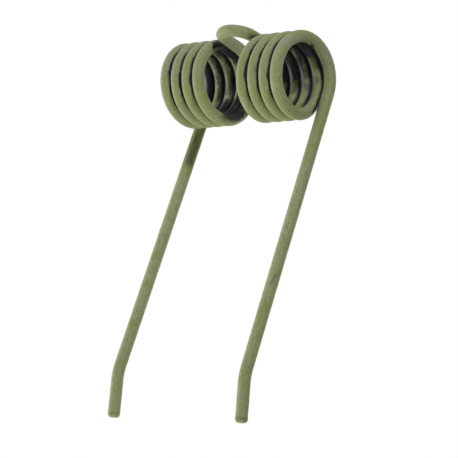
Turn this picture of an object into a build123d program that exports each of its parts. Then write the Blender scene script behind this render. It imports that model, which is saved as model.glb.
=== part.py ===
from build123d import *
from math import atan, atan2, cos, degrees, pi, radians, sin
import os

os.makedirs("parts", exist_ok=True)

# Pickup tine: one round spring steel wire, bent and wound into a double torsion spring.
# The wire runs from the left tip up its prong, round the left coil, through the bolt loop,
# round the right coil and down the right prong. The two halves mirror each other.
# Frame: the origin is on the coil axis, midway between the coils. +X runs along that axis,
# -Z down the prongs, and the bolt loop stands out towards -Y. Millimetres and degrees.

# Wire, with sheared ends that were rounded off
wire_diameter = 5.5
end_rounding = 1.6

# Coils, which a tine bar passes through
coil_inside_diameter = 29.0
turn_gap = 1.0
whole_turns = 4
closing_arc = 81.0

# Bolt loop between the coils, for an M10 bolt
loop_inside_width = 10.2
loop_leg_length = 9.9
loop_droop = 8.5

# Prongs and their bent tips
prong_straight_length = 134.4
tip_bend_radius = 22.5
tip_bend = 18.0
tip_straight_length = 16.8

# Sizes of the wire's centreline that follow from these. The prong leaves its coil at the
# back, and the loop leaves at the top, so a coil has a quarter turn over its whole turns,
# and the loop's droop more.
wire_radius = wire_diameter / 2
coil_radius = coil_inside_diameter / 2 + wire_radius
pitch = wire_diameter + turn_gap
lead = degrees(atan(pitch / (2 * pi * coil_radius)))
lead_sin = sin(radians(lead))
lead_cos = cos(radians(lead))
coil_angle = 360 * whole_turns + 90 + loop_droop
crown_radius = loop_inside_width / 2 + wire_radius

# Bolt loop: the right half of it, in the plane that touches the coils where the wire leaves
# them. The leg goes on along the coil's own tangent, so it leans inwards by the lead angle,
# and the crown is an arc tangent to it that ends in the middle.
leg_out = (0, -sin(radians(loop_droop)), cos(radians(loop_droop)))
loop_plane = Plane(origin=Vector(*leg_out) * coil_radius, x_dir=(1, 0, 0), z_dir=leg_out)
crown_start = (crown_radius * lead_cos, -loop_leg_length * lead_cos)
crown_centre = (0, crown_start[1] + crown_radius * lead_sin)
coil_start = (crown_start[0] + loop_leg_length * lead_sin, 0)

with BuildLine(loop_plane) as loop:
    leg = Line(coil_start, crown_start)
    crown = CenterArc(crown_centre, crown_radius, -lead, lead - 90)

# Coil: the helix winds outwards from the loop as far as the closing arc.
coil_plane = Plane(origin=(coil_start[0], 0, 0), x_dir=leg_out, z_dir=(1, 0, 0))
helix_length = pitch * (coil_angle - closing_arc) / 360

with BuildLine() as coil:
    winding = Helix(pitch, helix_length, coil_radius, lefthand=True, mode=Mode.PRIVATE)
    add(coil_plane.location * winding)

# Closing arc: the end of the coil is a flat arc that starts along the helix and turns until
# it points straight down. What is left of the lead splays the prong by half a degree.
helix_end = coil.line @ 1
helix_tangent = coil.line % 1
closing_sin = sin(radians(closing_arc))
closing_cos = cos(radians(closing_arc))
inward = Vector(0, -closing_cos, -closing_sin)
closing_plane = Plane(helix_end, x_dir=helix_tangent, z_dir=helix_tangent.cross(inward))
closing_turn = degrees(atan2(lead_cos * closing_sin, closing_cos))

with BuildLine(closing_plane) as closing:
    JernArc((0, 0), (1, 0), coil_radius / lead_cos, closing_turn)

# Prong: straight down, then bent back at the tip, away from the bolt loop.
prong_start = closing.line @ 1
prong_down = closing.line % 1
prong_plane = Plane(prong_start, x_dir=prong_down, z_dir=prong_down.cross(Vector(0, 1, 0)))

with BuildLine(prong_plane) as prong:
    shank = Line((0, 0), (prong_straight_length, 0))
    knee = JernArc(shank @ 1, shank % 1, tip_bend_radius, tip_bend)
    tip = PolarLine(knee @ 1, tip_straight_length, direction=knee % 1)

# Tine: the wire's round section swept from the middle of the crown along one half of the
# centreline, then mirrored, and rounded off at the edges of both ends.
with BuildPart() as tine:
    with BuildSketch(Plane(crown @ 1, z_dir=crown % 1)):
        Circle(wire_radius)
    sweep(path=Wire(loop.edges() + coil.edges() + closing.edges() + prong.edges()))
    mirror(about=Plane.YZ)
    fillet(tine.faces().filter_by(GeomType.PLANE).edges(), end_rounding)

tine.part.label = "tine"
export_step(tine.part, "parts/tine.step")
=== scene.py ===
from math import cos, pi, radians, sin

import bpy
from mathutils import Euler, Matrix, Vector

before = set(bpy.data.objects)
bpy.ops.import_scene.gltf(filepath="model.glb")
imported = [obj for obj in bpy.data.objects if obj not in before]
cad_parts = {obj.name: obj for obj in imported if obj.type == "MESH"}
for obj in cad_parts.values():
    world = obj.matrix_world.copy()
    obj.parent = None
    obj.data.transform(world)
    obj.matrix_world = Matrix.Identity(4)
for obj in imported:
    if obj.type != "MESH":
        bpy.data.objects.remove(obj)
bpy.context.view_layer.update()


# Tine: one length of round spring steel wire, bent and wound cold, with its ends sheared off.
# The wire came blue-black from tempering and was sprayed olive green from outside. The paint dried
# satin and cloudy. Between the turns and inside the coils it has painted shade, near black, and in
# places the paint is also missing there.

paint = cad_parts["tine"].data.materials[0]
paint.use_nodes = True
nodes = paint.node_tree.nodes
links = paint.node_tree.links
nodes.clear()
place = nodes.new("ShaderNodeTexCoord").outputs["Object"]


def maths(operation, *values):
    """Result of one sum on sockets or plain numbers."""
    node = nodes.new("ShaderNodeMath")
    node.operation = operation
    for value, socket in zip(values, node.inputs):
        if isinstance(value, float):
            socket.default_value = value
        else:
            links.new(value, socket)
    return node.outputs["Value"]


def total(*values):
    """All of the values added up."""
    result = values[0]
    for value in values[1:]:
        result = maths("ADD", result, value)
    return result


def scaled(value, factor):
    """The value made factor times as large."""
    return maths("MULTIPLY", value, factor)


def measured(operation, vector):
    """Distance of a place to a point, or how far it lies along a direction."""
    node = nodes.new("ShaderNodeVectorMath")
    node.operation = operation
    links.new(place, node.inputs[0])
    node.inputs[1].default_value = vector
    return node.outputs["Value"]


def cloud(size, detail=3.0, where=place):
    """Noise whose patches are about size metres across."""
    noise = nodes.new("ShaderNodeTexNoise")
    noise.inputs["Scale"].default_value = 1 / size
    noise.inputs["Detail"].default_value = detail
    links.new(where, noise.inputs["Vector"])
    return noise.outputs["Fac"]


def spread(value, low, high, to_low=0.0, to_high=1.0):
    """Stretches value from low..high to to_low..to_high, with soft ends."""
    ramp = nodes.new("ShaderNodeMapRange")
    ramp.interpolation_type = "SMOOTHSTEP"
    links.new(value, ramp.inputs["Value"])
    ramp.inputs["From Min"].default_value = low
    ramp.inputs["From Max"].default_value = high
    ramp.inputs["To Min"].default_value = to_low
    ramp.inputs["To Max"].default_value = to_high
    return ramp.outputs["Result"]


def near(value, middle, core, reach):
    """1 where value is within core of middle, and 0 where it is further off than reach."""
    away = maths("ABSOLUTE", total(value, -middle))
    return spread(away, low=core, high=reach, to_low=1.0, to_high=0.0)


def blend(amount, under, over):
    """Colour that goes from under to over as amount goes from 0 to 1."""
    mix = nodes.new("ShaderNodeMix")
    mix.data_type = "RGBA"
    links.new(amount, mix.inputs["Factor"])
    for colour, socket in ((under, mix.inputs[6]), (over, mix.inputs[7])):
        if isinstance(colour, tuple):
            socket.default_value = (*colour, 1)
        else:
            links.new(colour, socket)
    return mix.outputs[2]


def openness(reach):
    """1 where nothing of the wire stands within reach metres, and 0 in a closed corner."""
    occlusion = nodes.new("ShaderNodeAmbientOcclusion")
    occlusion.samples = 16
    occlusion.only_local = True
    occlusion.inputs["Distance"].default_value = reach
    return occlusion.outputs["AO"]


# Along the wire: the way round the coils' axis, which is X, and then the way down the prongs.

coil_radius = 0.01725
coil_outside = 0.020
streak_stretch = 0.2

axes = nodes.new("ShaderNodeSeparateXYZ")
links.new(place, axes.inputs["Vector"])
across, back, up = axes.outputs
radius = maths("SQRT", total(maths("MULTIPLY", back, back), maths("MULTIPLY", up, up)))
round_coil = scaled(maths("ARCTAN2", up, scaled(back, -1.0)), coil_radius)
down_prong = maths("MINIMUM", up, -coil_outside)
along = scaled(total(round_coil, down_prong), streak_stretch)
wire_way = nodes.new("ShaderNodeCombineXYZ")
for value, socket in zip((across, maths("MINIMUM", radius, coil_outside), along), wire_way.inputs):
    links.new(value, socket)

# Ragged edges of the dark places and patches: streaks that run along the wire, and small smudges.

streak_size = 0.0014
streak_depth = 0.11
smudge_size = 0.005
smudge_depth = 0.13
edge_wander = 0.010
patch_core = 0.4

streaky = cloud(streak_size, detail=4.0, where=wire_way.outputs["Vector"])
streaks = spread(streaky, low=0.35, high=0.65, to_low=-streak_depth, to_high=streak_depth)
smudges = spread(cloud(smudge_size), low=0.35, high=0.65, to_low=-smudge_depth, to_high=smudge_depth)
ragged = total(streaks, smudges)


def patch(centre, reach):
    """1 round a point of the tine, and 0 beyond reach metres from it, with a ragged edge."""
    distance = total(measured("DISTANCE", centre), scaled(ragged, edge_wander))
    return spread(distance, low=reach * patch_core, high=reach, to_low=1.0, to_high=0.0)


# Colour of the paint, chalky in patches, with painted light on it: a painted sheen greys the upper
# left, painted light from below greens the coils' undersides, a painted highlight pales the front of
# the right coil's last turn and the middle of the prongs, and painted shade darkens the tip ends,
# where the paint is also thin.

olive = (0.284, 0.321, 0.137)
chalk_and_sheen_olive = (0.318, 0.347, 0.218)
fresh_and_bottom_lit_olive = (0.262, 0.315, 0.092)
highlight_olive = (0.362, 0.395, 0.205)
deep_and_shaded_olive = (0.200, 0.235, 0.090)

chalk_size = 0.012
sheen_slope = 0.8
coil_bottom_height = -0.017
bottom_light = 0.5
last_turn_side = 0.029
last_turn_front = (0.033, -0.018, -0.007)
last_turn_highlight = 0.6
prong_middle_height = -0.085
prong_highlight = 0.65
tip_bend = radians(18)
tip_way = (0, sin(tip_bend), -cos(tip_bend))
end_start = 0.1538
end_face = 0.1552

colour = blend(spread(cloud(chalk_size), low=0.42, high=0.68), olive, chalk_and_sheen_olive)
# Painted sheen: the upper left of the tine is blended toward a greyer olive.
sheen_side = total(up, scaled(across, -sheen_slope))
colour = blend(spread(sheen_side, low=0.0, high=0.035, to_high=0.7), colour, chalk_and_sheen_olive)
# Painted light from below: the coils' undersides are blended toward a greener olive.
coil_bottom = near(up, coil_bottom_height, core=0.002, reach=0.009)
colour = blend(scaled(coil_bottom, bottom_light), colour, fresh_and_bottom_lit_olive)

# Painted highlight: the front of the right coil's last turn and the middle of the prongs are paler.
last_turn = spread(across, low=last_turn_side, high=last_turn_side + 0.001)
turn_front_highlight = maths("MULTIPLY", patch(last_turn_front, reach=0.016), last_turn)
prong_middle = near(up, prong_middle_height, core=0.025, reach=0.065)
painted_highlight = total(scaled(turn_front_highlight, last_turn_highlight), scaled(prong_middle, prong_highlight))
colour = blend(painted_highlight, colour, highlight_olive)
# Painted shade: the tip ends are darkened, and below they are also partly worn to bare wire.
end = spread(measured("DOT_PRODUCT", tip_way), low=end_start, high=end_face, to_high=0.8)
colour = blend(end, colour, deep_and_shaded_olive)

# Mottling of the paint, from fresh patches of several millimetres to grain and pale flecks.

pale_fleck = (0.400, 0.430, 0.330)
fresh_size = 0.007
mottle_size = 0.0009
grain_size = 0.0005
fleck_size = 0.0016

colour = blend(spread(cloud(fresh_size), low=0.50, high=0.72), colour, fresh_and_bottom_lit_olive)
mottle = spread(cloud(mottle_size, detail=2.0), low=0.42, high=0.68, to_high=0.6)
colour = blend(mottle, colour, deep_and_shaded_olive)
grain = spread(cloud(grain_size, detail=2.0), low=0.45, high=0.75, to_high=0.8)
colour = blend(grain, colour, deep_and_shaded_olive)
flecks = spread(cloud(fleck_size, detail=4.0), low=0.62, high=0.75, to_high=0.35)
colour = blend(flecks, colour, pale_fleck)

# Near-black colour: painted shade between the turns and inside the coils, the deeper the more closed
# in a place is, where the spray gun also hardly reached; a painted shadow of the bolt loop and
# painted shade in patches inside the coils, where the paint is also missing in part; and bare wire
# in scuffs and a little at the tip ends. Towards the bottom of the coils the gaps stay olive.

bare_steel_and_shade = (0.016, 0.016, 0.019)
crevice_reach = 0.005
hollow_reach = 0.12
hollow_weight = 0.9
shadow_and_missed_weight = 1.5
bottom_weight = 0.3
end_wear = 0.2

left_first_turn = -0.0145
left_first_turn_top = (-0.0125, -0.0055, 0.0145)
left_inner_back = (-0.019, 0.0145, -0.008)
left_inner_bottom = (-0.012, 0.009, -0.013)
left_inner_end = (-0.0355, 0.0105, 0.009)
right_inner_top = (0.0285, 0.0005, 0.0138)
right_inner_start = (0.014, 0.0095, 0.0115)

# Painted shadow: the bolt loop's shadow, near black on top of the left coil's first turn.
first_turn = near(across, left_first_turn, core=0.0030, reach=0.0036)
painted_loop_shadow = maths("MULTIPLY", patch(left_first_turn_top, reach=0.0115), first_turn)
# Painted shade in patches inside the coils, where the paint is also missing in part.
inside = spread(radius, low=0.0170, high=0.0195, to_low=1.0, to_high=0.0)
inner_shade_and_bare = total(
    patch(right_inner_top, reach=0.0080),
    patch(right_inner_start, reach=0.0100),
    patch(left_inner_back, reach=0.0110),
    patch(left_inner_bottom, reach=0.0100),
    patch(left_inner_end, reach=0.0088),
)
shadow_and_missed = total(painted_loop_shadow, maths("MULTIPLY", inner_shade_and_bare, inside))
# Painted shade: the less open a place is, the more it goes to near black, between the turns and
# inside the coils.
paint_and_light_reach = total(
    openness(crevice_reach),
    scaled(openness(hollow_reach), hollow_weight),
    ragged,
    scaled(shadow_and_missed, -shadow_and_missed_weight),
    scaled(coil_bottom, bottom_weight),
    spread(up, low=-0.0190, high=-0.0145, to_low=0.9, to_high=0.0),
)
scuffs = spread(streaky, low=0.64, high=0.76, to_high=0.5)
worn = total(scuffs, scaled(end, end_wear))
covered_and_unshaded = maths("SUBTRACT", spread(paint_and_light_reach, low=0.92, high=1.46), worn)
colour = blend(covered_and_unshaded, bare_steel_and_shade, colour)

# Surface: satin paint with a slight orange peel, in duller and shinier patches. Bare wire is
# shinier than the paint.

satin_size = 0.0025
dullest = 0.74
shiniest = 0.58
bare_share = 0.65
fine_peel_size = 0.0006
coarse_peel_size = 0.002

surface = nodes.new("ShaderNodeBsdfPrincipled")
links.new(colour, surface.inputs["Base Color"])
satin = spread(cloud(satin_size), low=0.3, high=0.7, to_low=shiniest, to_high=dullest)
by_cover = spread(covered_and_unshaded, low=0.0, high=1.0, to_low=bare_share)
links.new(maths("MULTIPLY", satin, by_cover), surface.inputs["Roughness"])
surface.inputs["Specular IOR Level"].default_value = 0.3
surface.inputs["Sheen Weight"].default_value = 0.1
peel = nodes.new("ShaderNodeBump")
peel.inputs["Strength"].default_value = 0.4
peel.inputs["Distance"].default_value = 0.00015
peel_height = total(cloud(fine_peel_size, detail=2.0), cloud(coarse_peel_size, detail=2.0))
links.new(peel_height, peel.inputs["Height"])
links.new(peel.outputs["Normal"], surface.inputs["Normal"])
output = nodes.new("ShaderNodeOutputMaterial")
links.new(surface.outputs["BSDF"], output.inputs["Surface"])


# Floor: a pale sheet, well below the tine, because the photograph looks up at it. It is matt,
# glows a little where the camera sees it, and throws back less light than it looks to.

floor_height = -0.60
floor_width = 12
seen_paleness = 0.85
bounced_paleness = 0.35
seen_glow = 0.5


def by_ray(tree, kinds, others, these):
    """Number that is these for the named kinds of light ray, and others for the rest."""
    light_path = tree.nodes.new("ShaderNodeLightPath")
    chosen = light_path.outputs[kinds[0]]
    for kind in kinds[1:]:
        either = tree.nodes.new("ShaderNodeMath")
        either.operation = "MAXIMUM"
        tree.links.new(chosen, either.inputs[0])
        tree.links.new(light_path.outputs[kind], either.inputs[1])
        chosen = either.outputs["Value"]
    number = tree.nodes.new("ShaderNodeMapRange")
    number.inputs["To Min"].default_value = others
    number.inputs["To Max"].default_value = these
    tree.links.new(chosen, number.inputs["Value"])
    return number.outputs["Result"]


bpy.ops.object.select_all(action="DESELECT")
bpy.ops.mesh.primitive_plane_add(size=floor_width, location=(0, 0, floor_height))
floor = bpy.context.object
floor.name = "floor"
bpy.ops.object.transform_apply(location=True)
pale = bpy.data.materials.new("pale_floor")
pale.use_nodes = True
tree = pale.node_tree
sheet = tree.nodes["Principled BSDF"]
sheet.inputs["Roughness"].default_value = 0.9
sheet.inputs["Emission Color"].default_value = (1, 1, 1, 1)
paleness = by_ray(tree, ["Is Diffuse Ray"], others=seen_paleness, these=bounced_paleness)
tree.links.new(paleness, sheet.inputs["Base Color"])
glow = by_ray(tree, ["Is Camera Ray"], others=0, these=seen_glow)
tree.links.new(glow, sheet.inputs["Emission Strength"])
floor.data.materials.append(pale)


# Backdrop: white behind the tine and in its gloss, and a weak even light otherwise. It is the
# world's own colour, and nothing stands there.

white = 1.0
even_light = 0.08
seen_rays = ["Is Camera Ray", "Is Glossy Ray", "Is Transmission Ray"]

world = bpy.data.worlds.new("studio")
bpy.context.scene.world = world
world.use_nodes = True
tree = world.node_tree
backdrop = tree.nodes["Background"]
backdrop.inputs["Color"].default_value = (1, 1, 1, 1)
strength = by_ray(tree, seen_rays, others=even_light, these=white)
tree.links.new(strength, backdrop.inputs["Strength"])


# Camera: it looks up at the tine from its right front, and leans to the right. Its offset is in
# its own axes, and puts the tine where the photograph has it.

view_azimuth = 44.38
view_elevation = -21.61
view_roll = 17.59
view_offset = (-0.0072, -0.0674, 0.9160)

camera = bpy.data.objects.new("camera", bpy.data.cameras.new("camera"))
bpy.context.scene.collection.objects.link(camera)
camera.data.sensor_width = 36
camera.data.lens = 158.39
aim = Euler((radians(90 - view_elevation), 0, radians(view_azimuth))).to_matrix()
aim = aim @ Matrix.Rotation(radians(view_roll), 3, "Z")
camera.matrix_world = Matrix.Translation(aim @ Vector(view_offset)) @ aim.to_4x4()
bpy.context.scene.camera = camera

bpy.context.scene.view_settings.view_transform = "Standard"


# Lamps: a small key lamp high on the camera's side, which throws the bolt loop's shadow on the
# left coil and the coil's on its prong, and wide soft lamps at the front left, left, below and
# behind. A level of 1 lights a surface that faces the lamp to its own colour.

def lamp(name, direction, distance, size, level):
    """A round lamp that shines on the coils from distance metres away."""
    light = bpy.data.lights.new(name, "AREA")
    light.shape = "DISK"
    light.size = size
    light.energy = level * (pi * distance) ** 2
    stand = bpy.data.objects.new(name, light)
    bpy.context.scene.collection.objects.link(stand)
    stand.visible_camera = False
    direction = Vector(direction).normalized()
    stand.location = direction * distance
    stand.rotation_euler = direction.to_track_quat("Z", "Y").to_euler()


lamp("key", (0.65, -0.67, 0.43), distance=1.5, size=0.18, level=0.57)
lamp("front_fill", (-0.60, -0.70, 0.15), distance=1.0, size=1.0, level=0.35)
lamp("left_fill", (-1.0, -0.25, -0.25), distance=1.0, size=0.6, level=0.62)
lamp("low_fill", (0.0, 0.18, -1.0), distance=0.57, size=0.3, level=0.68)
lamp("back_fill", (0.0, 0.95, 0.3), distance=1.2, size=0.8, level=0.35)
